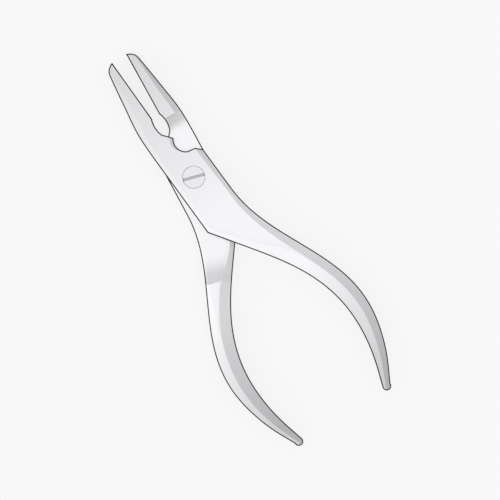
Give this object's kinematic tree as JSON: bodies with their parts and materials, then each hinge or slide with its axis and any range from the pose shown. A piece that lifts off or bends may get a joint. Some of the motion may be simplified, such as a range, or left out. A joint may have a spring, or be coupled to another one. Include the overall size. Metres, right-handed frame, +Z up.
{
  "type": "crimping pliers",
  "caption": "Lap-joint jewellery crimping pliers with slim tapered jaws, an oval throat and bowed bare steel handles on a slotted pivot screw.",
  "frame": {"origin": "on the pivot axis, at the flat underside of the joint that the tool lies on", "axes": "+Y along the tool from the handles to the jaw tips, +Z up along the pivot axis towards the slotted screw head"},
  "size_m": [0.05, 0.13, 0.008],
  "materials": {
    "lever_steel": "fine satin-polished forged steel",
    "screw_steel": "turned and polished screw head"
  },
  "bodies": {
    "back_half": {"back_lever": "lever_steel", "pivot_screw": "screw_steel"},
    "front_half": {"front_lever": "lever_steel"}
  },
  "joints": [
    {"name": "pliers_pivot", "type": "hinge", "parent": "back_half", "child": "front_half", "pos_m": [0, 0, 0.004], "axis": [0, 0, 1], "range_deg": [-6.5, 28]}
  ]
}
